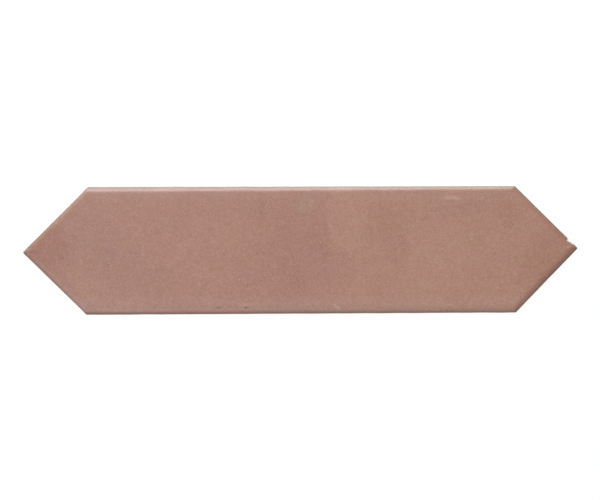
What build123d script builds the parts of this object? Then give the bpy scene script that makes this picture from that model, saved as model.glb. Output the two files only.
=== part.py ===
from build123d import *

import math
import os

# Picket tile: a long six-sided ceramic wall tile with a point at each end, pressed and fired in one
# piece. It lies face up. X runs from point to point, Y across the tile and Z up through its thickness.
# The origin is the middle of the back plane. All lengths are in millimetres and angles in degrees.

# Plan of the tile
LENGTH = 328.0  # from point to point, before the corners are rounded
WIDTH = 75.0  # across the two long sides
TIP_ANGLE = 90.0  # between the two sides of each point
CORNER_RADIUS = 0.8  # of the six upright corners

# Section through the tile
THICKNESS = 9.0  # from the back plane to the flat of the face
BACK_CHAMFER = 0.8  # around the back, where the two halves of the press die meet

# Cushioned edge: the face rolls over in an arc towards each side. The rolls are uneven, as on a tile
# that is finished by hand. Each width is measured in from the side, and each drop from the flat of the
# face down to where the upright side starts.
ROLL_LEAD = 5.0  # slope at which every roll leaves the face
UPPER_ROLL_WIDTH = 3.0  # long side at +Y
UPPER_ROLL_DROP = 1.3
LOWER_ROLL_WIDTH = 5.2  # long side at -Y
LOWER_ROLL_DROP = 2.5
LEFT_UPPER_ROLL_WIDTH = 3.2  # side of the -X point that faces +Y
LEFT_UPPER_ROLL_DROP = 0.9
LEFT_LOWER_ROLL_WIDTH = 3.8  # side of the -X point that faces -Y
LEFT_LOWER_ROLL_DROP = 1.9
RIGHT_UPPER_ROLL_WIDTH = 4.2  # side of the +X point that faces +Y
RIGHT_UPPER_ROLL_DROP = 1.8
RIGHT_LOWER_ROLL_WIDTH = 5.0  # side of the +X point that faces -Y
RIGHT_LOWER_ROLL_DROP = 2.8

# Adhesive keys: shallow tapered grooves along the back, inside a plain margin. An even number of them
# leaves a land on the centre line.
KEY_COUNT = 6
KEY_PITCH = 10.0
KEY_WIDTH = 5.5  # at the back plane
KEY_DEPTH = 0.7
KEY_DRAFT = 30.0  # of the groove's walls, so that the tile leaves the die
KEY_MARGIN = 7.0  # from the sides of the points to the ends of the grooves

# Chip: a flake is broken off the edge beside the +X point, on the side that faces +Y. It runs out towards
# the point, and away from it ends in a step.
CHIP_LENGTH = 8.5  # along the side
CHIP_DEPTH = 1.5  # in from the side, at the step
CHIP_FROM_TIP = 0.5  # from the sharp point to where the chip runs out

# Worked out from the plan
half_length = LENGTH / 2
half_width = WIDTH / 2
point_depth = half_width / math.tan(math.radians(TIP_ANGLE / 2))
shoulder = half_length - point_depth  # where the long sides end

left_tip = Vector(-half_length, 0)
right_tip = Vector(half_length, 0)
upper_left = Vector(-shoulder, half_width)
upper_right = Vector(shoulder, half_width)
lower_left = Vector(-shoulder, -half_width)
lower_right = Vector(shoulder, -half_width)

# The six sides, clockwise as seen on the face, each with its two ends and the width and drop of its roll
sides = [
    (left_tip, upper_left, LEFT_UPPER_ROLL_WIDTH, LEFT_UPPER_ROLL_DROP),
    (upper_left, upper_right, UPPER_ROLL_WIDTH, UPPER_ROLL_DROP),
    (upper_right, right_tip, RIGHT_UPPER_ROLL_WIDTH, RIGHT_UPPER_ROLL_DROP),
    (right_tip, lower_right, RIGHT_LOWER_ROLL_WIDTH, RIGHT_LOWER_ROLL_DROP),
    (lower_right, lower_left, LOWER_ROLL_WIDTH, LOWER_ROLL_DROP),
    (lower_left, left_tip, LEFT_LOWER_ROLL_WIDTH, LEFT_LOWER_ROLL_DROP),
]


def tile_outline():
    """The plan of the tile, with its six corners rounded."""
    sharp = make_face(Polyline([side[0] for side in sides], close=True))
    return fillet(sharp.vertices(), CORNER_RADIUS)


def pressed_blank(outline):
    """The tile as a plain slab with a chamfer around its back."""
    slab = extrude(outline, amount=THICKNESS)
    back = slab.faces().sort_by(Axis.Z)[0]
    return chamfer(back.edges(), BACK_CHAMFER)


def inward_of(start, end):
    """The level direction that points into the tile, square to one of its sides."""
    return (end - start).normalized().cross(Vector(0, 0, 1))


def roll_cutter(start, end, width, drop):
    """What comes off above the rolled edge of one side. Its section is drawn looking along the side, with
    X in from the side and Y up. Its arc turns on a little after it has left the tile, and it runs past both
    ends of the side, so that neighbouring rolls meet in a mitre."""
    chord_slope = math.degrees(math.atan2(drop, width))
    half_turn = chord_slope - ROLL_LEAD
    radius = math.hypot(drop, width) / (2 * math.sin(math.radians(half_turn)))
    overrun = half_turn / 5
    on_face = Vector(width, THICKNESS)
    lead = Vector(-1, 0).rotate(Axis.Z, ROLL_LEAD)
    roll = JernArc(on_face, lead, radius, 2 * half_turn + overrun)
    outside = roll @ 1
    spare = drop + width
    clear_of_tile = Polyline(
        outside,
        (outside.X, THICKNESS + spare),
        (width, THICKNESS + spare),
        on_face,
    )
    along = (end - start).normalized()
    looking_along = Plane(start - along * spare, x_dir=inward_of(start, end), z_dir=-along)
    section = looking_along * make_face([roll, clear_of_tile])
    return extrude(section, amount=(end - start).length + 2 * spare, dir=along)


def key_reach(across):
    """Half the length of the field of grooves, at a distance across from the centre line."""
    half_tip = math.radians(TIP_ANGLE / 2)
    return half_length - abs(across) / math.tan(half_tip) - KEY_MARGIN / math.sin(half_tip)


def key_groove(across):
    """One groove of the back, with its ends cut off parallel to the sides of the points."""
    near = across - KEY_WIDTH / 2
    far = across + KEY_WIDTH / 2
    mouth = Polygon(
        (-key_reach(near), near),
        (key_reach(near), near),
        (key_reach(far), far),
        (-key_reach(far), far),
        align=None,
    )
    return extrude(mouth, amount=KEY_DEPTH, taper=KEY_DRAFT)


def broken_flake():
    """The flake, as a cone that lies along the arris with its apex towards the point, so that the flute it
    leaves deepens away from the point and ends in a step."""
    away_from_tip = (upper_right - right_tip).normalized()
    arris = Vector(0, 0, THICKNESS - RIGHT_UPPER_ROLL_DROP)
    apex = right_tip + away_from_tip * CHIP_FROM_TIP + arris
    flake = Cone(0, CHIP_DEPTH, CHIP_LENGTH, align=(Align.CENTER, Align.CENTER, Align.MIN))
    return Plane(apex, z_dir=away_from_tip) * flake


def picket_tile():
    """The finished tile: a pressed slab with six rolled edges, a keyed back and one chip."""
    tile = pressed_blank(tile_outline())
    for start, end, width, drop in sides:
        tile -= roll_cutter(start, end, width, drop)
    for row in range(KEY_COUNT):
        tile -= key_groove((row - (KEY_COUNT - 1) / 2) * KEY_PITCH)
    tile -= broken_flake()
    return tile


os.makedirs("parts", exist_ok=True)
tile = picket_tile()
tile.label = "picket_tile"
export_step(tile, "parts/picket_tile.step")
print("picket_tile", "volume", round(tile.volume), "mm3", "box", tile.bounding_box().size)
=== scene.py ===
# %% [markdown]
# # A glazed picket tile
# The object is one ceramic wall tile: a long hexagon with a point at each end, pressed from white clay,
# coated with a satin dusty-pink glaze and fired. The solid model gives its true size. This notebook
# builds the tile's visible skin over that solid, with the small unevenness that a kiln leaves, and then
# gives it its glaze, its bare clay, a studio and a camera.

# %% Load the solid that the skin is fitted to
import math

import bpy
import numpy as np
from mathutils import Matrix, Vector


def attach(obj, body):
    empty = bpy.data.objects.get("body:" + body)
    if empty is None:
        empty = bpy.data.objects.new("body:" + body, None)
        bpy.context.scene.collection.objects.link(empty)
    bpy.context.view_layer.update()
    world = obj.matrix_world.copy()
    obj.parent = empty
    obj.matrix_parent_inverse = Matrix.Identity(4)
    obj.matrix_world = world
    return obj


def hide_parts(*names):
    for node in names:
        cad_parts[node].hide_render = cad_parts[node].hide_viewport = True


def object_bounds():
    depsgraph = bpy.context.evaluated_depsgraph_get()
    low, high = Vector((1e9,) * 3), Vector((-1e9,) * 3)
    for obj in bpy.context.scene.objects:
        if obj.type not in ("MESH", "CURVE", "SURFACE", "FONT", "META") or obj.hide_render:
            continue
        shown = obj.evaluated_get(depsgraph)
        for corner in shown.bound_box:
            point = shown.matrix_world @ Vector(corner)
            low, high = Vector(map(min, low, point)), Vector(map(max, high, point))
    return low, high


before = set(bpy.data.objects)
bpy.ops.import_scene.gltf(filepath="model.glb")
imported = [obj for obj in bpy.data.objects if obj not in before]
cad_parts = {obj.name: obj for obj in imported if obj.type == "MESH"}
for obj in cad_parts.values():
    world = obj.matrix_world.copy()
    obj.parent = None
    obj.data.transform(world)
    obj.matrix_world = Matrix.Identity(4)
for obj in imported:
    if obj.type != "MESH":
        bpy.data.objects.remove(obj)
cad_low, cad_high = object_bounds()
print("solid from", tuple(cad_low), "to", tuple(cad_high))

# %% [markdown]
# ## Sizes
# All shapes below are worked out in millimetres, because a potter thinks in them, and are turned into
# metres only when the mesh is made. The outer sizes are read from the solid. The points are right-angled,
# so the tile narrows by a millimetre on each side for every millimetre towards a tip.

# %% Sizes of the tile, in millimetres
MM = 0.001
THICKNESS = cad_high.z / MM
HALF_WIDTH = cad_high.y / MM
TIP_ROUNDING = 0.8
SLANT = math.sqrt(2)  # length along X of one millimetre in from a side of a point
HALF_LENGTH = cad_high.x / MM + TIP_ROUNDING * (SLANT - 1)  # to where the sharp point would be
SHOULDER = HALF_LENGTH - HALF_WIDTH  # where the long sides end
BACK_CHAMFER = 0.8
print("half length", round(HALF_LENGTH, 2), "and half width", round(HALF_WIDTH, 2))
print("long sides end", round(SHOULDER, 2), "from the middle")

# %% Grooves of the back, in millimetres
KEY_COUNT, KEY_PITCH = 6, 10.0
KEY_CENTRES = KEY_PITCH * (np.arange(KEY_COUNT) - (KEY_COUNT - 1) / 2)
KEY_HALF_MOUTH = 2.75
KEY_DEPTH = 0.7
KEY_DRAFT = 30.0  # lean of a groove's walls, in degrees
KEY_HALF_ROOT = KEY_HALF_MOUTH - KEY_DEPTH * math.tan(math.radians(KEY_DRAFT))
KEY_MARGIN = 7.0  # from the sides of the points to the ends of the grooves
KEY_EASE = 0.2  # how far a pressed edge is rounded
print("groove floor", round(2 * KEY_HALF_ROOT, 2), "wide")

# %% [markdown]
# ## Soft unevenness
# Nothing that comes out of a kiln is quite flat or straight. A sum of sine waves in random directions
# gives a smooth, endless unevenness with one main wavelength. Its generator is seeded, so the tile comes
# out the same every time. Noise textures could do this too, but they live in the shader, and here the
# shape itself has to move.

# %% A smooth random swell
WAVE_SPREAD = 0.7, 1.5  # shortest and longest wave, as shares of the main wavelength


def swell(x, y, length, seed, waves=14):
    """Values of about -1 to 1 that wander over the tile with a wavelength of about the given length."""
    draw = np.random.default_rng(seed)
    total = 0.0
    for _ in range(waves):
        heading, phase = draw.uniform(0, 2 * math.pi, 2)
        pace = 2 * math.pi / (length * draw.uniform(*WAVE_SPREAD))
        total = total + np.sin(pace * (x * math.cos(heading) + y * math.sin(heading)) + phase)
    return total / math.sqrt(2 * waves)


print("swell at the middle", round(float(swell(0.0, 0.0, 30, 1)), 3))

# %% [markdown]
# ## A grid that follows the plan
# The face is one grid of four-sided faces. Its rows run along the tile and its columns bend like chevrons
# towards the points, so that every side of the tile is a clean line of the grid. Both are close together
# near the sides, where the face rolls over, and along the grooves of the back, which share the same rows.
# A subdivided box would waste faces on the flat and have none at the edges.

# %% Rows and columns of the grid
FIRST_GAP, GAP_GROWTH = 0.16, 0.09  # gap next to a side, and the share by which each next gap is larger
edge_depths = FIRST_GAP * ((1 + GAP_GROWTH) ** np.arange(20) - 1) / GAP_GROWTH  # distances in from a side
BAND = 30.8  # rows further out than this lie close together along a long side

inner_rows = [0.0, 0.3, 0.6, 0.9, 1.35, 30.5]  # the first few shape the rounded tips
# Distances from the middle of a groove to its eased rim, its wall and two rows of its floor
key_rows = [KEY_HALF_MOUTH + KEY_EASE, KEY_HALF_MOUTH, KEY_HALF_ROOT, KEY_HALF_ROOT - KEY_EASE, 0.75]
for centre in KEY_CENTRES[KEY_CENTRES > 0]:
    for half in key_rows:
        inner_rows += [centre - half, centre + half]
    inner_rows.append(centre + KEY_PITCH / 2)
edge_rows = HALF_WIDTH - edge_depths[edge_depths < HALF_WIDTH - BAND]
upper_rows = np.unique(np.round(np.concatenate([inner_rows, edge_rows]), 4))
bead_rows = np.arange(32.9, 34.3, 0.2)  # where two beads of glaze lie near the lower side
lower_rows = np.unique(np.concatenate([upper_rows[1:], bead_rows]))
rows = np.concatenate([-lower_rows[::-1], upper_rows])

# The end columns stop short of the grooves, and then follow the ends of the grooves from rim to floor
key_ends = [
    KEY_MARGIN - KEY_EASE,
    KEY_MARGIN,
    KEY_MARGIN + KEY_HALF_MOUTH - KEY_HALF_ROOT,
    KEY_MARGIN + 0.6,
]
end_depths = np.concatenate([edge_depths[edge_depths < KEY_MARGIN - 0.5], key_ends])

COLUMN_STEP, BEAD_STEP = 1.35, 0.5
BEADS_LEFT, BEADS_RIGHT = -54, -28  # columns are closer together between these too
reach_of_columns = HALF_LENGTH - end_depths[-1] * SLANT
spots = [-reach_of_columns]
while spots[-1] < reach_of_columns:
    near_beads = BEADS_LEFT < spots[-1] < BEADS_RIGHT
    spots.append(spots[-1] + (BEAD_STEP if near_beads else COLUMN_STEP))
middle_shares = (np.array(spots[1:-1]) / reach_of_columns + 1) / 2
print(len(rows), "rows,", 2 * len(end_depths) + len(middle_shares), "columns")

# %% Plan of the grid
def rounded_tip(y):
    """How far the outline falls back from the sharp point, at a distance across from the centre line."""
    inside = np.abs(y) < TIP_ROUNDING / SLANT
    arc = TIP_ROUNDING * SLANT - np.sqrt(np.maximum(TIP_ROUNDING**2 - y**2, 0))
    return np.where(inside, arc, np.abs(y))


def plan(row_places, depths):
    """X and Y of every point of a grid, with its end columns at given depths in from the points' sides."""
    y = row_places[:, None]
    ends = HALF_LENGTH - rounded_tip(y) - depths[None, :] * SLANT
    middle = ends[:, -1:] * (2 * middle_shares[None, :] - 1)
    x = np.hstack([-ends, middle, ends[:, ::-1]])
    return x, np.broadcast_to(y, x.shape)


face_x, face_y = plan(rows, end_depths)
print("face grid", face_x.shape, "reaches", round(face_x.max(), 2))

# %% [markdown]
# ## Six rolled edges
# The face rolls over towards each side. The clay was finished by hand, so the six rolls differ: the one
# along the upper side is short and breaks from the face at a clear angle, which is why it catches the
# light as a pale line, and the lower ones are long and soft. Each roll is an arc that leaves the face at
# its own angle and reaches the side at its own drop. Where two rolls meet, the lower surface wins.

# %% Height of a roll below the face
ARRIS_WIDTH = 1.2  # of the last, tighter turn into the side
ARRIS_POWER = 1.5  # the higher, the closer to the side that turn falls
EASE_WIDTH = 1.35  # of the soft start, where the face turns to the roll's first slope


def roll_fall(depth, width, drop, leave, arris):
    """Fall of an arc that leaves the face at a width in from the side, at an angle in degrees, with the
    soft start before it and the tighter turn at its end."""
    leave = math.radians(leave)
    half_turn = np.arctan2(drop, width) - leave
    radius = np.hypot(drop, width) / (2 * np.sin(half_turn))
    from_middle = depth - width - radius * math.sin(leave)
    arc = radius * math.cos(leave) - np.sqrt(np.maximum(radius**2 - from_middle**2, 0))
    eased = np.clip((width + EASE_WIDTH - depth) / EASE_WIDTH, 0, 1)
    soft_start = math.tan(leave) * EASE_WIDTH / 2 * eased**2
    last_turn = arris * np.maximum(1 - depth / ARRIS_WIDTH, 0) ** ARRIS_POWER
    return np.where(depth < width, arc, 0.0) + soft_start + last_turn


# Width, drop and angle of each side's roll, the fall of its last turn, and how much wider it is at its far
# left than at its far right
ROLLS = {
    "upper": (2.1, 0.95, 19.0, 0.06, 0.8),
    "lower": (5.2, 1.95, 1.0, 0.6, 0.0),
    "left upper": (3.0, 0.42, 1.0, 0.4, 0.0),
    "left lower": (3.6, 1.2, 1.0, 0.75, 0.0),
    "right upper": (4.2, 1.1, 1.0, 0.8, 0.0),
    "right lower": (5.0, 2.4, 1.0, 0.25, 0.0),
}
print("rolls from", min(r[0] for r in ROLLS.values()), "to", max(r[0] for r in ROLLS.values()), "wide")


# %% Depth of a point in from each side
def depths_from_sides(x, y):
    """Distances of a point in from the six sides, in the plan before firing."""
    return {
        "upper": HALF_WIDTH - y,
        "lower": HALF_WIDTH + y,
        "left upper": (HALF_LENGTH + x - y) / SLANT,
        "left lower": (HALF_LENGTH + x + y) / SLANT,
        "right upper": (HALF_LENGTH - x - y) / SLANT,
        "right lower": (HALF_LENGTH - x + y) / SLANT,
    }


print("the middle lies", round(min(depths_from_sides(0.0, 0.0).values()), 2), "in from the nearest side")

# %% Beads of glaze
# Two beads hang on the lower roll: middle, half length, height, how far they run out below and above, and
# how much their ends turn down
BEADS = [(-31.6, -33.4, 2.2, 0.3, 0.35, 1.5, 0.0), (-49.2, -33.2, 2.2, 0.25, 0.35, 1.3, 0.05)]


def beads_of_glaze(x, y):
    """How far the glaze stands up in beads, which are steep below and run out upwards."""
    total = 0.0
    for middle_x, middle_y, half_x, height, below, above, bend in BEADS:
        along, up = (x - middle_x) / half_x, y - middle_y + bend * (x - middle_x) ** 2
        across = np.where(up < 0, up / below, up / above)
        total = total + height * np.exp(-(along**2) - across**2)
    return total


print(len(BEADS), "beads")

# %% Height of the face
LONG_SWELL, SHORT_SWELL = 0.03, 0.012  # how far the face rises and falls, in long waves and in short ones
ROLL_SWELL = 0.02  # the same for the rolls
ROLL_WANDER = 0.05  # share by which a roll is wider or narrower along its side


def face_height(x, y):
    """The glazed face: nearly flat, swelling a little, with its six rolled edges and two beads."""
    level = THICKNESS + LONG_SWELL * swell(x, y, 42, 3) + SHORT_SWELL * swell(x, y, 13, 4)
    depths = depths_from_sides(x, y)
    for number, (side, (width, drop, leave, arris, lean)) in enumerate(ROLLS.items()):
        stretch = 1 - lean / 2 * x / SHOULDER / width + ROLL_WANDER * swell(x, y, 24, 20 + number)
        fall = roll_fall(depths[side], stretch * width, stretch * drop, leave, arris)
        level = np.minimum(level, THICKNESS + ROLL_SWELL * swell(x, y, 42, 3) - fall)
    return level + beads_of_glaze(x, y)


face_z = face_height(face_x, face_y)
print("face between", round(face_z.min(), 2), "and", round(face_z.max(), 2))

# %% [markdown]
# ## Out of true
# Firing shrinks clay by a few percent, and never evenly, so each corner of a real tile is a little out of
# place. The plan is stretched between its corners: a rectangle in the middle and a triangle at each end,
# so that straight sides stay straight. The sides also wander by less than a tenth of a millimetre.

# %% Where firing has moved the corners, in millimetres
CORNER_MOVES = {
    "upper left": (1.10, 0.31),
    "upper right": (0.74, -0.12),
    "lower right": (1.03, 0.03),
    "lower left": (-0.25, -0.36),
    "left tip": (-0.34, -0.83),
    "right tip": (0.33, 0.43),
}
SHARP_CORNERS = {
    "upper left": (-SHOULDER, HALF_WIDTH),
    "upper right": (SHOULDER, HALF_WIDTH),
    "lower right": (SHOULDER, -HALF_WIDTH),
    "lower left": (-SHOULDER, -HALF_WIDTH),
    "left tip": (-HALF_LENGTH, 0.0),
    "right tip": (HALF_LENGTH, 0.0),
}
FIRED_CORNERS = {corner: np.add(SHARP_CORNERS[corner], move) for corner, move in CORNER_MOVES.items()}
SIDE_WANDER, WANDER_REACH = 0.06, 4.0  # how far a side wanders, and how far in from it that dies away


def out_of_true(x, y):
    """The plan after firing: every point moves by the moves of the corners around it, in their shares."""
    along = np.clip(x / SHOULDER, -1, 1)
    to_tip = np.clip((np.abs(x) - SHOULDER) / HALF_WIDTH, 0, 1)
    up, down = ((1 - to_tip) + y / HALF_WIDTH) / 2, ((1 - to_tip) - y / HALF_WIDTH) / 2
    right, left = (1 + along) / 2, (1 - along) / 2
    shares = {
        "upper left": up * left,
        "upper right": up * right,
        "lower right": down * right,
        "lower left": down * left,
        "left tip": to_tip * left,
        "right tip": to_tip * right,
    }
    move_x = sum(share * CORNER_MOVES[corner][0] for corner, share in shares.items())
    move_y = sum(share * CORNER_MOVES[corner][1] for corner, share in shares.items())
    nearest_side = np.minimum.reduce(list(depths_from_sides(x, y).values()))
    wander = SIDE_WANDER * np.exp(-nearest_side / WANDER_REACH)
    return x + move_x + wander * swell(x, y, 26, 50), y + move_y + wander * swell(x, y, 18, 51)


fired_x, fired_y = out_of_true(face_x, face_y)
print("corners move by up to", max(max(map(abs, move)) for move in CORNER_MOVES.values()), "mm")

# %% [markdown]
# ## Back and sides
# The back is a second grid with as many rows and columns, drawn in by the chamfer, with its grooves
# pressed into it. The sides join the rims of the two grids. The glaze runs over the arris and part of the
# way down each side, where it ends in an uneven line, a little proud of the bare clay below it.

# %% Grid of the back
# The rows of the band and the columns beside the grooves are drawn in by the chamfer
squeeze = (HALF_WIDTH - BACK_CHAMFER - BAND) / (HALF_WIDTH - BAND)
squeezed_rows = np.sign(rows) * (BAND + (np.abs(rows) - BAND) * squeeze)
back_rows = np.where(np.abs(rows) > BAND, squeezed_rows, rows)
plain = KEY_MARGIN - KEY_EASE
squeezed_depths = BACK_CHAMFER + end_depths * (1 - BACK_CHAMFER / plain)
back_depths = np.where(end_depths < plain, squeezed_depths, end_depths)
back_x, back_y = plan(back_rows, back_depths)


def pressed_share(inside):
    """How deep a point is in a groove, from 0 to 1, by its distance inside the groove's mouth."""
    wall = KEY_HALF_MOUTH - KEY_HALF_ROOT
    return np.interp(inside, [-KEY_EASE, 0, wall, wall + KEY_EASE], [0, 0.07, 0.93, 1])


across = np.max([KEY_HALF_MOUTH - np.abs(back_y - centre) for centre in KEY_CENTRES], axis=0)
ends_in = (HALF_LENGTH - np.abs(back_x) - rounded_tip(back_y)) / SLANT - KEY_MARGIN
back_z = KEY_DEPTH * np.minimum(pressed_share(across), pressed_share(ends_in))
warp_x, warp_y = out_of_true(back_x, back_y)
print("grooves", round(back_z.max(), 2), "deep")

# %% Line where the glaze ends on the sides
GLAZE_END = 4.9  # mean height of the line above the back
GLAZE_PROUD = 0.07  # thickness of the glaze
GLAZE_THINS = 0.5  # height over which it thins out at the line


def glaze_line(x, y):
    """Height above the back at which the glaze ends."""
    return GLAZE_END + 0.55 * swell(x, y, 16, 60) + 0.3 * swell(x, y, 4.5, 61)


def bare_share(x, y, z):
    """0 where the side is glazed and 1 where it is bare clay."""
    return np.clip((glaze_line(x, y) - z) / GLAZE_THINS + 0.5, 0, 1)


print("glaze ends", round(float(glaze_line(0.0, -HALF_WIDTH)), 2), "up, at the middle of the lower side")


# %% Rim of a grid, as one closed loop
def rim(grid):
    """The outer points of a grid: along the lower side, up the right, back along the top, down the left."""
    return np.concatenate([grid[0, :-1], grid[:-1, -1], grid[-1, :0:-1], grid[:0:-1, 0]])


rim_x, rim_y, rim_z = rim(fired_x), rim(fired_y), rim(face_z)
foot_x, foot_y = rim(warp_x), rim(warp_y)
inward_x, inward_y = (foot_x - rim_x) / BACK_CHAMFER, (foot_y - rim_y) / BACK_CHAMFER

ROUND_OVER = 0.28  # how far below the face's rim the upright side starts
RING_COUNT = 13  # of rings from there down to the chamfer
SIDE_SWELL = 0.015  # unevenness of the sides
CHAMFER_IN, CHAMFER_UP = 0.42, 0.36  # place of one more ring, which makes the chamfer a little round
wall_rings = []
for share in np.linspace(0, 1, RING_COUNT):
    z = (rim_z - ROUND_OVER) * (1 - share) + BACK_CHAMFER * share
    inside = GLAZE_PROUD * bare_share(rim_x, rim_y, z) + SIDE_SWELL * swell(rim_x + 3 * z, rim_y, 9, 70)
    wall_rings.append((rim_x + inward_x * inside, rim_y + inward_y * inside, z))
chamfer_x, chamfer_y = rim_x + inward_x * CHAMFER_IN, rim_y + inward_y * CHAMFER_IN
wall_rings.append((chamfer_x, chamfer_y, np.full_like(rim_x, CHAMFER_UP)))
print(len(rim_x), "points around,", len(wall_rings), "rings down the sides")

# %% Pull the arris in a little, so that it is rounded and not a knife edge
ARRIS_IN = 0.07
for grid, inward in ((fired_x, inward_x), (fired_y, inward_y)):
    moved = rim(grid) + inward * ARRIS_IN
    lengths = [grid.shape[1] - 1, grid.shape[0] - 1, grid.shape[1] - 1, grid.shape[0] - 1]
    low_side, right_side, top_side, left_side = np.split(moved, np.cumsum(lengths)[:-1])
    grid[0, :-1], grid[:-1, -1] = low_side, right_side
    grid[-1, :0:-1], grid[:0:-1, 0] = top_side, left_side
print("arris rounded over", ROUND_OVER, "mm")

# %% [markdown]
# ## One closed skin
# The face, the sides and the back are joined into one closed mesh, which a later cut can trust. Each of its
# faces also gets a place on a flat map: the glazed face lies at the bottom, the back above it and the sides
# on top, cut into three strips. Patterns can be stored on such a map without overlaps and with little
# stretching. Blender's own unwrapping could do it too, but here every place follows from the sizes.

# %% Number the points and join them
face_count = face_x.size
ring_size = len(rim_x)
face_numbers = np.arange(face_count).reshape(face_x.shape)
ring_numbers = face_count + np.arange(len(wall_rings) * ring_size).reshape(len(wall_rings), ring_size)
back_numbers = ring_numbers.max() + 1 + np.arange(face_count).reshape(face_x.shape)

points = np.concatenate(
    [np.stack([fired_x.ravel(), fired_y.ravel(), face_z.ravel()], 1)]
    + [np.stack(ring, 1) for ring in wall_rings]
    + [np.stack([warp_x.ravel(), warp_y.ravel(), back_z.ravel()], 1)]
)


def quads_of(numbers):
    """The four-sided faces between neighbouring points of a grid of point numbers."""
    near, far = numbers[:-1], numbers[1:]
    return np.stack([near[:, :-1], near[:, 1:], far[:, 1:], far[:, :-1]], -1).reshape(-1, 4)


loops = np.vstack([rim(face_numbers), ring_numbers, rim(back_numbers)])
closed_loops = np.hstack([loops, loops[:, :1]])
face_quads = quads_of(face_numbers)
side_quads = quads_of(closed_loops)[:, ::-1]
back_quads = quads_of(back_numbers)[:, ::-1]
quads = np.concatenate([face_quads, side_quads, back_quads])
print(len(points), "points,", len(quads), "faces")

# %% Places on the flat map
MAP_LENGTH, MAP_WIDTH = 2 * HALF_LENGTH + 6, 2 * HALF_WIDTH + 4  # with a little room around the tile
FLAT_SHARE = 0.36  # of the map's height, for the face and again for the back
STRIP_COUNT = 3
STRIP_LEFT, STRIP_FOOT, STRIP_PITCH, STRIP_HEIGHT = 0.01, 0.735, 0.088, 0.075
around = np.concatenate([[0], np.cumsum(np.hypot(np.diff(rim_x), np.diff(rim_y)))])
around = np.append(around, around[-1] + math.hypot(rim_x[0] - rim_x[-1], rim_y[0] - rim_y[-1]))


def flat_part(x, y, bottom):
    """Places on the map for points of the face or the back."""
    return np.stack([0.5 + x / MAP_LENGTH, bottom + FLAT_SHARE * (0.5 + y / MAP_WIDTH)], -1).reshape(-1, 2)


face_map = flat_part(fired_x, fired_y, 0.0)[face_quads]
back_map = flat_part(warp_x, -warp_y, FLAT_SHARE)[face_quads[:, ::-1]]
down = np.linspace(0, 1, len(loops))
strip = np.minimum((around[:-1] / around[-1] * STRIP_COUNT).astype(int), STRIP_COUNT - 1)
corners = []
for step, level in ((0, 0), (1, 0), (1, 1), (0, 1)):
    in_strip = around[step : len(around) - 1 + step] - strip * around[-1] / STRIP_COUNT
    u = in_strip / MAP_LENGTH + STRIP_LEFT
    from_foot = STRIP_HEIGHT * (1 - down[level : len(down) - 1 + level, None])
    v = STRIP_FOOT + STRIP_PITCH * strip[None, :] + from_foot
    corners.append(np.stack(np.broadcast_arrays(u[None, :], v), -1).reshape(-1, 2))
side_map = np.stack(corners, 1)[:, ::-1]
flat_map = np.concatenate([face_map, side_map, back_map])
print("map from", flat_map.min((0, 1)).round(3), "to", flat_map.max((0, 1)).round(3))

# %% Make the mesh
MAP_NAME = "OFBake"


def mesh_from(name, places, faces, map_places):
    """A mesh object in metres from points in millimetres, faces of point numbers and their map places."""
    mesh = bpy.data.meshes.new(name)
    mesh.from_pydata((np.asarray(places) * MM).tolist(), [], faces)
    layer = mesh.uv_layers.new(name=MAP_NAME)
    layer.uv.foreach_set("vector", np.asarray(map_places, np.float32).ravel())
    mesh.update()
    made = bpy.data.objects.new(name, mesh)
    bpy.context.scene.collection.objects.link(made)
    return made


tile = mesh_from("glazed_tile", points, quads.tolist(), flat_map)
print("skin of", len(tile.data.polygons), "faces")

# %% [markdown]
# ## The chip
# A sliver has broken off the upper side just before the right tip. Glaze and clay are brittle, so the break
# has a sharp rim and shows the white clay. It is widest at its far end, where it stops at a step, and runs
# out towards the tip. The sliver is modelled as a rough wedge and cut away with a Boolean, which leaves a
# true sharp rim. Painting the chip on would leave the outline whole.

# %% The sliver that has broken off
TIP = FIRED_CORNERS["right tip"]
chipped_side = FIRED_CORNERS["upper right"] - TIP
along_side = chipped_side / np.linalg.norm(chipped_side)
into_tile = np.array([-along_side[1], along_side[0]])
SLIVER_START, SLIVER_END = 0.3, 8.95  # distances from the sharp tip
SLIVER_IN = 1.95  # how far in it reaches at its far end
GROW_POWER = 0.8  # how fast it deepens on the way there
STEP_LENGTH, STEP_OUT = 0.4, 0.9  # of the step at its far end, along the side and out past it
STEP_LEAN, LEAN_LEVEL = 0.25, 9.0  # how much the step leans with height, counted from this height
SLIVER_TOP, SLIVER_FOOT = 9.6, 6.05  # heights between which its section is drawn
SLIVER_OUT = 3.0  # how far it reaches out of the tile
RIPPLE_HEIGHT, RIPPLE_LENGTH = 7.5, 0.75  # where ripples start from at the step, and how long each is
SHELL_LENGTH = 2.6  # of one shell of the break, along the side

# Section of the break, from above the face down to below it: height, and share of the reach inwards
section_z = np.linspace(SLIVER_TOP, SLIVER_FOOT, 30)
section_in = np.interp(
    section_z,
    [6.05, 6.2, 6.45, 6.75, 7.1, 7.5, 7.9, 8.3, 8.7, 9.1, 9.6],
    [-0.40, -0.08, 0.20, 0.42, 0.60, 0.74, 0.85, 0.93, 0.98, 1.03, 1.10],
)
stations = np.concatenate(
    [np.linspace(SLIVER_START, SLIVER_END, 84), SLIVER_END + STEP_LENGTH * np.linspace(0.08, 1, 12)]
)
grown = np.minimum((stations - SLIVER_START) / (SLIVER_END - SLIVER_START), 1)
closing = np.maximum((stations - SLIVER_END) / STEP_LENGTH, 0)[:, None]  # 1 at the rim of the step
reach_in = SLIVER_IN * grown**GROW_POWER + 0.03
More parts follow.
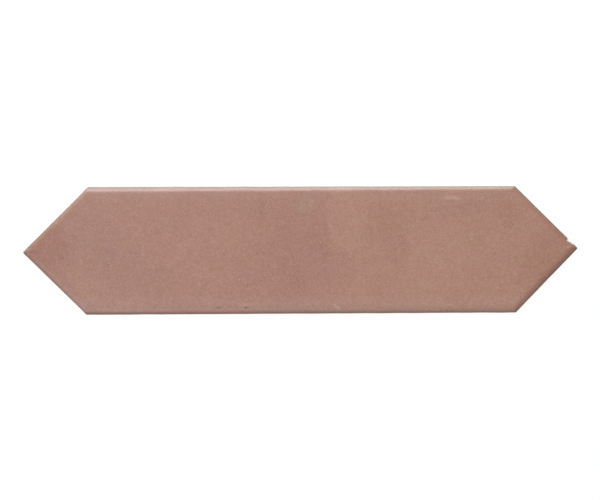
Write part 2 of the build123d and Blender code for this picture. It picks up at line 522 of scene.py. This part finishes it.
# The break runs in shallow shells with ridges between them, and each shell is rippled
shells = np.abs(np.sin(math.pi * (stations / SHELL_LENGTH + 0.55 * swell(stations, 0.0, 4.0, 82))))
fall = (SLIVER_TOP - section_z)[None, :] * (0.35 + 0.65 * grown[:, None] ** GROW_POWER)
fall = fall * (1 + 0.10 * swell(stations, 0.0, 1.9, 83) + 0.06 * shells)[:, None]
depth_z = SLIVER_TOP - fall
depth_in = reach_in[:, None] * section_in[None, :]
from_step = np.hypot(SLIVER_END - stations[:, None], depth_z - RIPPLE_HEIGHT)
rough = 0.07 * (shells[:, None] - 0.6) + 0.025 * np.sin(2 * math.pi * from_step / RIPPLE_LENGTH)
for size, height, seed in ((1.5, 0.07, 80), (0.5, 0.03, 81)):
    rough = rough + height * swell(stations[:, None], depth_z, size, seed)
depth_in = (depth_in + rough * np.minimum(reach_in[:, None], 1)) * (1 - closing) - STEP_OUT * closing
outside = np.full((len(stations), 1), -SLIVER_OUT)
section = np.concatenate([depth_in, outside, outside], 1)
heights = np.concatenate([depth_z, depth_z[:, -1:], np.full((len(stations), 1), SLIVER_TOP)], 1)
step_lean = STEP_LEAN * (heights - LEAN_LEVEL) + 0.12 * swell(section, heights, 1.1, 84) * (1 - closing)
slanted = stations[:, None] + step_lean * grown[:, None] ** 8
wedge = TIP + slanted[..., None] * along_side + section[..., None] * into_tile
wedge_points = np.concatenate([wedge, heights[..., None]], -1).reshape(-1, 3)
print("sliver", round(SLIVER_END - SLIVER_START, 1), "mm long and", SLIVER_IN, "mm deep")

# %% Close the wedge
stops, steps = section.shape
wedge_numbers = np.arange(stops * steps).reshape(stops, steps)
skin = quads_of(np.hstack([wedge_numbers, wedge_numbers[:, :1]]))
caps = [wedge_numbers[0].tolist(), wedge_numbers[-1, ::-1].tolist()]
wedge_faces = [face[::-1] for face in skin.tolist()] + [cap[::-1] for cap in caps]
# Its faces lie in a free corner of the flat map
used = np.array([number for face in wedge_faces for number in face])
wedge_map = np.stack([0.78 + 0.2 * (used // steps) / stops, 0.76 + 0.2 * (used % steps) / steps], 1)
sliver = mesh_from("sliver", wedge_points, wedge_faces, wedge_map)
print("wedge of", len(wedge_faces), "faces")

# %% [markdown]
# ## Finishes as sums
# A finish is a tree of shader nodes. Drawing it out as links hides the idea, so a small class wraps the
# output of a node and lets plain sums build the tree: adding two of them adds a Math node. Every other
# node comes from one method that takes its type, its settings and what goes into its sockets.

# %% A value that flows through a finish
class Flow:
    """The output of one shader node. Sums with it add Math nodes."""

    def __init__(self, finish, socket):
        self.finish = finish
        self.socket = socket

    def maths(self, operation, *values, clamp=False):
        settings = {"operation": operation, "use_clamp": clamp}
        return self.finish.node("ShaderNodeMath", settings, dict(enumerate(values)))

    def __add__(self, other):
        return self.maths("ADD", self, other)

    def __sub__(self, other):
        return self.maths("SUBTRACT", self, other)

    def __rsub__(self, other):
        return self.maths("SUBTRACT", other, self)

    def __mul__(self, other):
        return self.maths("MULTIPLY", self, other)

    def __truediv__(self, other):
        return self.maths("DIVIDE", self, other)

    def __rtruediv__(self, other):
        return self.maths("DIVIDE", other, self)

    __radd__ = __add__
    __rmul__ = __mul__

    def clamped(self):
        return self.maths("ADD", self, 0.0, clamp=True)

    def larger(self, other):
        return self.maths("MAXIMUM", self, other)


# %% A finish, which owns the nodes
PATCH_CORE = 0.3  # share of a soft patch's half length that has its full strength
ENDLESS = 1e6  # so that patches reach right through the tile


class Finish:
    """The shader tree of one material, with the few nodes that this tile's finishes need."""

    def __init__(self, tree):
        self.tree = tree
        self.tree.nodes.clear()

    def node(self, kind, settings, inputs, output=0):
        """Any node, from its type, its settings and what goes into its sockets. Returns one output."""
        made = self.tree.nodes.new(kind)
        for setting, value in settings.items():
            setattr(made, setting, value)
        for key, value in inputs.items():
            socket = self.pick(made.inputs, key)
            if isinstance(value, Flow):
                self.tree.links.new(value.socket, socket)
            else:
                socket.default_value = value
        return None if output is None else Flow(self, self.pick(made.outputs, output))

    @staticmethod
    def pick(sockets, key):
        """A socket by its number, or the one in use by its name."""
        if isinstance(key, int):
            return sockets[key]
        return next(socket for socket in sockets if socket.name == key and socket.enabled)

    def vectors(self, operation, inputs, output="Vector"):
        """Vector Math, which serves for places and for colours."""
        return self.node("ShaderNodeVectorMath", {"operation": operation}, inputs, output)

    def place(self):
        """Where a point lies on the tile, as a vector in millimetres."""
        metres = self.node("ShaderNodeTexCoord", {}, {}, "Object")
        return self.vectors("SCALE", {"Vector": metres, "Scale": 1 / MM})

    def distance(self, place, axis):
        """How far a place lies along one axis."""
        return self.node("ShaderNodeSeparateXYZ", {}, {"Vector": place}, axis)

    def noise(self, place, size, detail=2.0, roughness=0.5, shift=0.0):
        """Cloudy noise of about -1 to 1, with lumps of about the given size in millimetres."""
        moved = self.vectors("ADD", {0: place, 1: (shift, shift * 0.7, shift * 0.3)})
        inputs = {"Vector": moved, "Scale": 1 / size, "Detail": detail, "Roughness": roughness}
        return self.node("ShaderNodeTexNoise", {"noise_dimensions": "3D"}, inputs, 0) * 2.0 - 1.0

    def mix(self, first, second, share):
        """A mixture of two colours, with a share of the second."""
        inputs = {"Factor": share, "A": first, "B": second}
        return self.node("ShaderNodeMix", {"data_type": "RGBA"}, inputs, "Result")

    def plus(self, first, second):
        """The sum of two colours."""
        return self.vectors("ADD", {0: first, 1: second})

    def tinted(self, colour, strength):
        """A colour made brighter or darker."""
        return self.vectors("SCALE", {"Vector": colour, "Scale": strength})

    def patch(self, place, x, y, half_x, half_y, turn=0.0):
        """A soft oval patch: 1 around its middle, 0 at its rim and beyond. Turn is in degrees."""
        settings = {"vector_type": "TEXTURE"}
        inputs = {
            "Vector": place,
            "Location": (x, y, 0.0),
            "Rotation": (0.0, 0.0, math.radians(turn)),
            "Scale": (half_x, half_y, ENDLESS),
        }
        local = self.node("ShaderNodeMapping", settings, inputs, "Vector")
        inputs = {"Value": self.vectors("LENGTH", {"Vector": local}, "Value")}
        inputs.update({"From Min": 1.0, "From Max": PATCH_CORE})
        return self.node("ShaderNodeMapRange", {"interpolation_type": "SMOOTHSTEP"}, inputs)

    def seen(self):
        """1 for what the camera sees, straight, mirrored or through glass, and 0 for all other light."""
        kinds = ("Is Camera Ray", "Is Glossy Ray", "Is Transmission Ray")
        camera_ray, mirrored, through = [self.node("ShaderNodeLightPath", {}, {}, kind) for kind in kinds]
        return camera_ray.larger(mirrored).larger(through)


def new_finish(name):
    """A new material, and the finish that fills its tree."""
    material = bpy.data.materials.new(name)
    material.use_nodes = True
    return material, Finish(material.node_tree)


print("finishes ready")

# %% [markdown]
# ## Glaze and clay
# The glaze is a satin dusty pink that drifts from a rosier left to a yellower right. On top of that it has
# clouds in four tints, one olive patch, mottling a few millimetres across and a fine grain, each only a few
# percent lighter or darker, a scatter of tiny pale and dark specks, and a few rubbed marks and dark spots.
# At the two beads of glaze on the lower roll there is painted shade below them and a painted highlight
# above the first. Along the sides the glaze is paler or darker, partly where it is thinner or thicker and
# partly as painted highlight and painted shade of the rolled edges. It was poured in two passes, and the
# second ends in an upright line just right of the middle: darker and plum-coloured on its left, paler and
# straw-coloured on its right. Below its line on the sides, and on the back, the pressed clay is bare:
# off-white, matt and slightly gritty. A painted picture could hold all this, but sums of noise and soft
# patches stay sharp at any distance. One finish holds both glaze and clay, split by the height of the
# glaze line, so that the border can be ragged.

# %% Clouds in the glaze
# What each tint adds to the colour where it is strongest
TINTS = {
    "plum": (-0.022, -0.018, -0.011),
    "straw": (0.016, 0.013, 0.007),
    "mist": (-0.019, -0.009, -0.006),
    "bark": (-0.028, -0.021, -0.021),
}
# Clouds of each tint: middle, half length and half width in millimetres, and strength
CLOUDS = {
    "plum": [
        (-154, 2, 26, 26, 0.6),
        (-10, -19, 30, 19, 0.25),
        (26, -12, 18, 17, 0.6),
        (59, -2, 11, 13, 0.7),
        (46, -22, 10, 8, 0.4),
    ],
    "straw": [
        (38, -20, 24, 14, 0.35),
        (80, -8, 32, 30, 0.5),
        (-60, 20, 9, 7, 0.5),
        (-70, 2, 8, 9, 0.45),
        (-42, 4, 8, 13, 0.5),
        (-46, -20, 15, 9, 0.5),
    ],
    "mist": [
        (-126, 8, 24, 26, 0.9),
        (-108, -10, 24, 24, 0.9),
        (-85, -18, 14, 14, 0.6),
        (-24, 24, 12, 9, 0.7),
        (93, 24, 22, 10, 0.9),
    ],
    "bark": [
        (-154, 2, 28, 26, 1.05),
        (50, 14, 18, 16, 0.5),
        (121, 20, 15, 13, 0.5),
        (156, -2, 34, 26, 0.88),
        (138, -18, 18, 20, 0.3),
    ],
}
# The two clouds that meet at the end of the second pour, and where along the tile that is
POUR_END = 17.0
BEFORE_POUR_END = (4, 6, 36, 52, 0.75)
AFTER_POUR_END = (22, 18, 32, 36, 0.85)

# What is added to the colour along a side, partly for glaze that is thinner or thicker there and partly as
# painted light and shade of the rolled edges, most plainly in the narrow strips at the arris: a painted
# highlight along the upper and left upper sides and painted shade along the lower ones. Columns: the two
# ends of the side, clockwise, the tint, how far in it is full and where it ends
SIDE_TINTS_AND_PAINTED_SHADING = [
    ("upper left", "upper right", (0.008, 0.014, 0.014), 4.0, 10.0),
    ("upper left", "upper right", (0.027, 0.110, 0.120), 0.3, 1.1),
    ("lower right", "lower left", (0.007, 0.012, 0.013), 7.0, 12.0),
    ("lower right", "lower left", (-0.010, -0.045, -0.060), 0.3, 1.2),
    ("left tip", "upper left", (-0.006, -0.005, -0.016), 1.8, 3.0),
    ("left tip", "upper left", (-0.015, 0.070, 0.100), 0.1, 0.8),
    ("left tip", "upper left", (-0.010, -0.008, -0.006), 4.0, 9.0),
    ("lower left", "left tip", (0.0, 0.010, 0.011), 2.6, 4.4),
    ("lower left", "left tip", (-0.016, -0.012, -0.007), 5.0, 9.0),
    ("lower left", "left tip", (-0.035, -0.022, -0.036), 0.3, 1.2),
    ("upper right", "right tip", (-0.016, -0.015, -0.013), 2.6, 4.2),
    ("right tip", "lower right", (-0.003, -0.015, -0.016), 2.4, 4.0),
    ("right tip", "lower right", (-0.055, -0.065, -0.065), 0.3, 1.3),
]
print(sum(len(clouds) for clouds in CLOUDS.values()) + 2, "clouds")

# %% Colour of the glaze
ROSY, EARTHY = (0.340, 0.1785, 0.1365, 1), (0.347, 0.1855, 0.1372, 1)
DRIFT_LENGTH = 150.0  # over which the glaze drifts from one to the other
BEND_SIZE = 22.0  # of the noise that bends the outlines of the clouds, and how far it moves them in all

tile_material, finish = new_finish("satin_glaze_on_clay")
place = finish.place()
inputs = {"Vector": place, "Scale": 1 / BEND_SIZE, "Detail": 3.0}
bent = finish.node("ShaderNodeTexNoise", {"noise_dimensions": "3D"}, inputs, "Color")
bent = finish.vectors("MULTIPLY_ADD", {0: bent, 1: (BEND_SIZE, BEND_SIZE, 0.0), 2: place})
bent = finish.vectors("SUBTRACT", {0: bent, 1: (BEND_SIZE / 2, BEND_SIZE / 2, 0.0)})

drift = finish.distance(bent, "X") / DRIFT_LENGTH + 0.45
drift = (drift + 0.25 * finish.noise(place, 34, 2.0, shift=12.0)).clamped()
glaze_colour = finish.mix(ROSY, EARTHY, drift)
print("glaze from", ROSY[:3], "to", EARTHY[:3])

# %% Clouds and pours
POUR_BLUR = 3.0  # width of the border where the second pour ends, and how far it wanders

along_tile = finish.distance(place, "X")
past_pour = along_tile - POUR_END + POUR_BLUR * finish.noise(place, 9.0, 2.0, shift=21.0)
past_pour = (past_pour / POUR_BLUR + 0.5).clamped()
shares = {
    "plum": BEFORE_POUR_END[4] * finish.patch(bent, *BEFORE_POUR_END[:4]) * (1.0 - past_pour),
    "straw": AFTER_POUR_END[4] * finish.patch(bent, *AFTER_POUR_END[:4]) * past_pour,
}
for tint, clouds in CLOUDS.items():
    for x, y, half_x, half_y, strength in clouds:
        shares[tint] = strength * finish.patch(bent, x, y, half_x, half_y) + shares.get(tint, 0.0)
    glaze_colour = finish.plus(glaze_colour, finish.tinted(TINTS[tint], shares[tint]))
print("tints", list(shares))

# %% Thinner and thicker glaze, and painted highlight and shade, along the sides
across_tile = finish.distance(place, "Y")
for first, last, tint, full, gone in SIDE_TINTS_AND_PAINTED_SHADING:
    start, end = FIRED_CORNERS[first], FIRED_CORNERS[last]
    run_x, run_y = (end - start) / np.linalg.norm(end - start)
    depth = (along_tile - start[0]) * run_y + (across_tile - start[1]) * -run_x
    share = ((gone - depth) / (gone - full)).clamped()
    # Each strip adds its tint: partly for glaze thickness, partly as painted light and shade of the rolled
    # edge
    glaze_colour = finish.plus(glaze_colour, finish.tinted(tint, share))
print(len(SIDE_TINTS_AND_PAINTED_SHADING), "tints along the sides")

# %% Olive patch
OLIVE = (0.340, 0.214, 0.153, 1)
OLIVE_PATCH, OLIVE_STRENGTH = (5, 29, 9, 8), 0.55
olive = finish.patch(bent, *OLIVE_PATCH) * OLIVE_STRENGTH
glaze_colour = finish.mix(glaze_colour, OLIVE, olive)
print("olive patch at", OLIVE_PATCH[:2])

# %% Mottling, grain, rubbed marks, and painted highlight and shade at the beads
# Rubbed marks, the last of them a painted highlight on the upper side of the first bead, and dark spots,
# the first at the inner rim of the break's step and the others painted shade under the two beads: middle,
# half length, half width, turn in degrees and strength
RUBS_AND_BEAD_HIGHLIGHT = [
    (88.8, 30.7, 4.6, 1.7, 1, 0.16),
    (92.6, 30.2, 4.4, 1.4, -12, 0.14),
    (85.6, 30.3, 2.4, 1.2, 5, 0.09),
    (66.7, 13.8, 0.6, 1.4, 4, 0.16),
    (21.4, -33.5, 4.6, 0.95, -33, 0.23),
    (88.2, -32.9, 3.8, 0.5, 1, 0.12),
    (48.5, 26.5, 1.2, 1.2, 0, 0.10),
    # Painted highlight on the upper side of the first bead
    (-29.6, -32.7, 3.2, 1.2, 4, 0.06),
]
SPOTS = [
    (157.55, 5.45, 1.4, 0.55, -45, -0.24),
    # Painted shade under the first bead and to its lower left, and under the second bead
    (-32.45, -33.8, 1.7, 0.8, 0, -0.42),
    (-34.2, -35.9, 1.9, 0.9, 20, -0.10),
    (-49.0, -33.8, 2.6, 0.8, 2, -0.20),
]
PALER = (0.40, 0.275, 0.265)  # what paler grain adds to the colour, and darker grain and the dark spots take away
RUB_AND_HIGHLIGHT_TINT = (0.24, 0.29, 0.29)  # what a rubbed mark and the painted highlight on the first bead add
YELLOWER, ROSIER = (0.001, 0.001, -0.011), (0.007, -0.0035, 0.006)  # what the mottling adds
TAN_SPOTS = [(159.2, 1.7, 1.0, 0.9), (158.0, 1.0, 0.9, 0.8)]  # middles, half lengths and half widths
TAN, TAN_STRENGTH = (0.47, 0.30, 0.215, 1), 0.6

# The grain and the mottling stop short on their dark side, so that the glaze has more pale points than dark
grain = finish.noise(place, 0.8, 1.0, shift=57.0).larger(-0.42)
mottling = 0.055 * finish.noise(place, 4.5, 2.0, shift=31.0)
mottling = mottling + 0.08 * finish.noise(place, 1.7, 1.0, shift=52.0)
tone = 0.035 * finish.noise(place, 26, 3.0) + mottling.larger(-0.04)
tone = (tone + 0.19 * grain + 0.25 * (grain - 0.3).clamped()).larger(-0.085)
# The dark spots darken the tone, the ones at the beads as painted shade
for x, y, half_x, half_y, turn, strength in SPOTS:
    tone = tone + strength * finish.patch(place, x, y, half_x, half_y, turn)
glaze_colour = finish.plus(glaze_colour, finish.tinted(PALER, tone))
# Rubbed marks, and the painted highlight above the first bead
rubbed = 0.0
for x, y, half_x, half_y, turn, strength in RUBS_AND_BEAD_HIGHLIGHT:
    rubbed = strength * finish.patch(place, x, y, half_x, half_y, turn) + rubbed
glaze_colour = finish.plus(glaze_colour, finish.tinted(RUB_AND_HIGHLIGHT_TINT, rubbed))
for tint, size, detail, shift in ((YELLOWER, 6.0, 3.0, 83.0), (ROSIER, 7.0, 2.0, 87.0)):
    drifting = finish.noise(place, size, detail, shift=shift)
    glaze_colour = finish.plus(glaze_colour, finish.tinted(tint, drifting))
first_spot, second_spot = [finish.patch(place, *spot) for spot in TAN_SPOTS]
glaze_colour = finish.mix(glaze_colour, TAN, (first_spot + second_spot) * TAN_STRENGTH)
print(len(RUBS_AND_BEAD_HIGHLIGHT), "rubbed marks and", len(SPOTS), "dark spots")

# %% Specks in the glaze
# Each cell of a pattern may hold one pale and one dark speck in its middle. Two lots that the cell draws,
# its red and its green, say how large they are, and most lots are too small for one.
SPECK_CELL = 6.0
SPECKS = [  # colour, lot, how much the sizes spread, what is taken off, and strength
    ((0.54, 0.38, 0.32, 1), "Red", 0.55, 0.460, 0.4),
    ((0.20, 0.10, 0.075, 1), "Green", 1.2, 1.13, 0.45),
]
SPECK_RIM = 40.0  # how sharply a speck ends
FACE_FROM, FACE_FULL = 7.5, 8.0  # heights at which specks start and are full, so that the sides have none

settings, inputs = {"voronoi_dimensions": "2D"}, {"Vector": place, "Scale": 1 / SPECK_CELL}
from_middle = finish.node("ShaderNodeTexVoronoi", settings, inputs, "Distance")
lots = finish.node("ShaderNodeTexVoronoi", settings, inputs, "Color")
ragged = 0.05 * finish.noise(place, 0.35, 2.0, shift=91.0)
on_face = ((finish.distance(place, "Z") - FACE_FROM) / (FACE_FULL - FACE_FROM)).clamped()
for speck_colour, lot, spread, taken_off, strength in SPECKS:
    size = spread * finish.node("ShaderNodeSeparateColor", {}, {"Color": lots}, lot) - taken_off
    speck = ((size - from_middle + ragged) * SPECK_RIM).clamped() * on_face * strength
    glaze_colour = finish.mix(glaze_colour, speck_colour, speck)
print(len(SPECKS), "kinds of specks in cells of", SPECK_CELL, "mm")

# %% Colour of the bare clay
CLAY, DUSTY_CLAY = (0.74, 0.685, 0.60), (0.45, 0.28, 0.23, 1)
grit = finish.noise(place, 0.7, 3.0, 0.65, shift=5.0)
stain = finish.noise(place, 14.0, 3.0, shift=8.0)
clay_colour = finish.tinted(CLAY, 1.0 + 0.05 * grit + 0.05 * stain)
print("clay", CLAY)

# %% Where the glaze ends
glazed = finish.node("ShaderNodeAttribute", {"attribute_name": "above_glaze_line"}, {}, "Fac")
ragged = 0.35 * finish.noise(place, 1.3, 3.0, 0.6, shift=3.0)
bare = ((0.1 - glazed - ragged) * 5.0).clamped()
# Just below the line the clay is dusted with glaze
dusted = 0.5 + 0.28 * glazed + 0.7 * finish.noise(place, 0.5, 2.0, shift=9.0)
dusted = (dusted * 3.0 - 0.9).clamped() * 0.35
clay_colour = finish.mix(clay_colour, DUSTY_CLAY, dusted)
colour = finish.mix(glaze_colour, clay_colour, bare)

# %% Relief and sheen
MATT = 0.88  # roughness of the bare clay
orange_peel = 0.006 * finish.noise(place, 2.4, 2.0, shift=71.0)  # in millimetres, as the clay's grain is
orange_peel = orange_peel + 0.0035 * finish.noise(place, 0.8, 2.0, shift=72.0)
clay_grain = 0.03 * grit + 0.015 * finish.noise(place, 0.25, 2.0, shift=73.0)
relief = orange_peel + bare * (clay_grain - orange_peel)
bumped = finish.node("ShaderNodeBump", {}, {"Strength": 1.0, "Distance": MM, "Height": relief}, "Normal")
satin = 0.30 + 0.05 * finish.noise(place, 9.0, 3.0, shift=44.0)
satin = satin + 0.04 * finish.noise(place, 1.1, 2.0, shift=45.0)
sheen = satin + bare * (MATT - satin)
inputs = {"Base Color": colour, "Roughness": sheen, "Normal": bumped}
surface = finish.node("ShaderNodeBsdfPrincipled", {}, inputs, "BSDF")
finish.node("ShaderNodeOutputMaterial", {}, {"Surface": surface}, None)
print(len(finish.tree.nodes), "nodes in the tile's finish")

# %% [markdown]
# ## Fresh break
# The break is rough and matt. Just under the glaze, which has soaked in a little, it is pinkish, and
# further down the broken clay is nearly white, because no dust has settled in it. A finish of its own keeps
# it apart from the pressed skin, and the cut hands it to the faces that the sliver leaves behind.

# %% Finish of the break
SOAKED, WHITE_CLAY = (0.54, 0.38, 0.35, 1), (0.92, 0.89, 0.90, 1)
SOAKED_TO, SOAKED_BLUR = 8.3, 1.3  # height down to which it is pinkish, and how slowly that turns white

break_material, finish = new_finish("fresh_break")
place = finish.place()
crumbs = finish.noise(place, 0.5, 3.0, 0.7)
below_glaze = ((SOAKED_TO - finish.distance(place, "Z")) / SOAKED_BLUR + 0.15 * crumbs).clamped()
broken_clay = finish.mix(SOAKED, WHITE_CLAY, below_glaze)
broken_clay = finish.tinted(broken_clay, 1.0 + 0.08 * crumbs)
grit = 0.07 * crumbs + 0.03 * finish.noise(place, 0.16, 2.0, 0.6, shift=4.0)
bumped = finish.node("ShaderNodeBump", {}, {"Strength": 1.0, "Distance": MM, "Height": grit}, "Normal")
inputs = {"Base Color": broken_clay, "Roughness": 0.9, "Normal": bumped}
surface = finish.node("ShaderNodeBsdfPrincipled", {}, inputs, "BSDF")
finish.node("ShaderNodeOutputMaterial", {}, {"Surface": surface}, None)
print(len(finish.tree.nodes), "nodes in the break's finish")

# %% Cut the chip and give both surfaces their finish
for piece in (tile, sliver):
    piece.data.materials.append(tile_material)
    piece.data.materials.append(break_material)
sliver.data.polygons.foreach_set("material_index", np.ones(len(sliver.data.polygons), np.int32))
cut = tile.modifiers.new("chip", "BOOLEAN")
cut.operation, cut.solver, cut.object = "DIFFERENCE", "EXACT", sliver
graph = bpy.context.evaluated_depsgraph_get()
chipped = bpy.data.meshes.new_from_object(tile.evaluated_get(graph))
tile.modifiers.clear()
tile.data = chipped
bpy.data.objects.remove(sliver)
broken_faces = sum(face.material_index for face in chipped.polygons)
print("chipped skin of", len(chipped.polygons), "faces,", broken_faces, "of them in the break")

# %% Smooth shading with sharp edges, and heights above the glaze line
SHARP_ANGLE = 30.0  # edges that turn by more degrees than this stay sharp
chipped.polygons.foreach_set("use_smooth", np.ones(len(chipped.polygons), bool))
chipped.set_sharp_from_angle(angle=math.radians(SHARP_ANGLE))

places = np.zeros(len(chipped.vertices) * 3, np.float32)
chipped.vertices.foreach_get("co", places)
x, y, z = places.reshape(-1, 3).T.astype(float) / MM
ends_at = glaze_line(x, y)
layer = chipped.attributes.new("above_glaze_line", "FLOAT", "POINT")
layer.data.foreach_set("value", (z - ends_at).astype(np.float32))
print("glaze line between", round(ends_at.min(), 1), "and", round(ends_at.max(), 1), "mm up")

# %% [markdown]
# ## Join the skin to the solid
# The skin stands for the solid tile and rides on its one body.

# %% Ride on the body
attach(tile, "root")
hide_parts("picket_tile")
print("tile rides on root")

# %% [markdown]
# ## Studio
# The tile lies on a white floor in even light from all around and under three soft lamps: a strip behind
# it, which the upper roll catches as a pale line, a big box at its upper left and a card in front. To the
# camera the floor shows almost white, with only a trace of the tile's shadow. For all other light it is
# grey paper, so that it throws little light up at the tile's sides.

# %% Floor
FLOOR_SIZE = 8.0  # metres
half = FLOOR_SIZE / 2
floor_corners = [(-half, -half, 0), (half, -half, 0), (half, half, 0), (-half, half, 0)]
floor_mesh = bpy.data.meshes.new("floor")
floor_mesh.from_pydata(floor_corners, [], [(0, 1, 2, 3)])
floor = bpy.data.objects.new("floor", floor_mesh)
bpy.context.scene.collection.objects.link(floor)

WHITE, PAPER, TRACE = (1, 1, 1, 1), (0.45, 0.45, 0.45, 1), (0.06, 0.06, 0.06, 1)
FLOOR_GLOW = 0.96

floor_material, finish = new_finish("white_floor")
seen = finish.seen()
paper = finish.node("ShaderNodeBsdfDiffuse", {}, {"Color": PAPER}, "BSDF")
trace = finish.node("ShaderNodeBsdfDiffuse", {}, {"Color": TRACE}, "BSDF")
glow = finish.node("ShaderNodeEmission", {}, {"Color": WHITE, "Strength": FLOOR_GLOW}, "Emission")
lit = finish.node("ShaderNodeAddShader", {}, {0: trace, 1: glow}, "Shader")
surface = finish.node("ShaderNodeMixShader", {}, {0: seen, 1: paper, 2: lit}, "Shader")
finish.node("ShaderNodeOutputMaterial", {}, {"Surface": surface}, None)
floor_mesh.materials.append(floor_material)
print("floor", FLOOR_SIZE, "m square")

# %% Light from all around
AROUND_GLOW, BACKDROP_GLOW = 0.2, 1.0  # brightness of the surroundings, as light and to the camera

world = bpy.data.worlds.new("studio")
bpy.context.scene.world = world
world.use_nodes = True
finish = Finish(world.node_tree)
seen = finish.seen()
around_light, backdrop = [
    finish.node("ShaderNodeBackground", {}, {"Color": WHITE, "Strength": strength}, "Background")
    for strength in (AROUND_GLOW, BACKDROP_GLOW)
]
surface = finish.node("ShaderNodeMixShader", {}, {0: seen, 1: around_light, 2: backdrop}, "Shader")
finish.node("ShaderNodeOutputWorld", {}, {"Surface": surface}, None)
print("light from all around", AROUND_GLOW)

# %% Soft lamps
LAMP_DISTANCE = 5.0  # metres


def soft_lamp(name, heading, elevation, width, height, brightness):
    """A flat lamp aimed at the tile, with its sides in metres. The heading is counted from +X towards +Y,
    in degrees, and the brightness is that of its surface, where 1 is white."""
    lamp = bpy.data.lights.new(name, "AREA")
    lamp.shape, lamp.size, lamp.size_y = "RECTANGLE", width, height
    lamp.energy = brightness * math.pi * width * height
    made = bpy.data.objects.new(name, lamp)
    bpy.context.scene.collection.objects.link(made)
    turn, tilt = math.radians(heading), math.radians(elevation)
    made.location = (
        LAMP_DISTANCE * math.cos(turn) * math.cos(tilt),
        LAMP_DISTANCE * math.sin(turn) * math.cos(tilt),
        LAMP_DISTANCE * math.sin(tilt),
    )
    made.rotation_euler = (math.pi / 2 - tilt, 0, turn + math.pi / 2)
    print(name, "of", width, "by", height, "m")


soft_lamp("back_strip", 92, 42, 2.6, 1.5, 9.2)
soft_lamp("side_box", 150, 48, 6.0, 5.0, 2.35)
soft_lamp("front_card", 250, 50, 2.4, 2.4, 1.9)

# %% [markdown]
# ## Camera
# The photograph looks straight down on the tile from far enough that its sides don't show. A long lens
# does that. The tile lies about a quarter of a degree out of square with the picture.

# %% Camera
PICTURE_WIDTH_PX, PIXELS_PER_MM = 600, 1.693
ASIDE_X, ASIDE_Y = -0.22, 0.07  # where the picture's middle lies on the tile, in millimetres
CAMERA_TURN = -0.225  # degrees
camera = bpy.data.objects.new("camera", bpy.data.cameras.new("camera"))
bpy.context.scene.collection.objects.link(camera)
camera.data.lens, camera.data.sensor_width = 100, 36
seen_width = PICTURE_WIDTH_PX / PIXELS_PER_MM * MM
above_face = seen_width * camera.data.lens / camera.data.sensor_width
camera.location = (ASIDE_X * MM, ASIDE_Y * MM, THICKNESS * MM + above_face)
camera.rotation_euler = (0.0, 0.0, math.radians(CAMERA_TURN))
bpy.context.scene.camera = camera
bpy.context.scene.view_settings.view_transform = "Standard"
print("camera", round(camera.location.z, 3), "m up")
